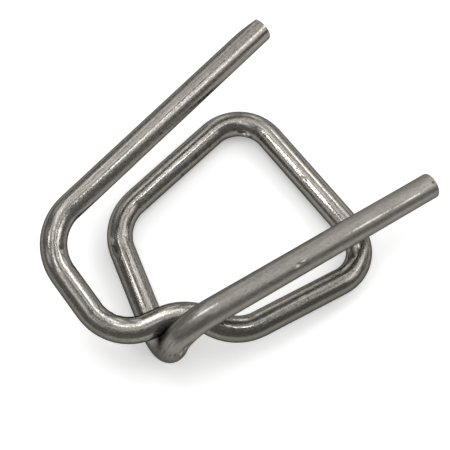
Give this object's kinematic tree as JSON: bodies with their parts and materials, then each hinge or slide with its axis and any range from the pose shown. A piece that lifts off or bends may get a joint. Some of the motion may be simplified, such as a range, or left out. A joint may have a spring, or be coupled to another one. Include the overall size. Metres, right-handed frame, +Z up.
{
  "type": "strapping buckle",
  "caption": "Bent wire buckle: a closed frame whose crossed legs turn back as prongs that grip a strapping band laced through it.",
  "frame": {"origin": "centre of the part's outer box, on the surface that it lies on", "axes": "+X along the prongs, from the crossed legs towards the closed side; +Y across the frame, towards the side of the high prong; +Z up from the surface that the frame lies on"},
  "size_m": [0.0474, 0.0363, 0.0125],
  "materials": {
    "steel_wire": "drawn bright steel wire, grey, with fine lengthwise draw lines and small tool marks"
  },
  "bodies": {
    "root": {"buckle_wire": "steel_wire"}
  },
  "joints": []
}
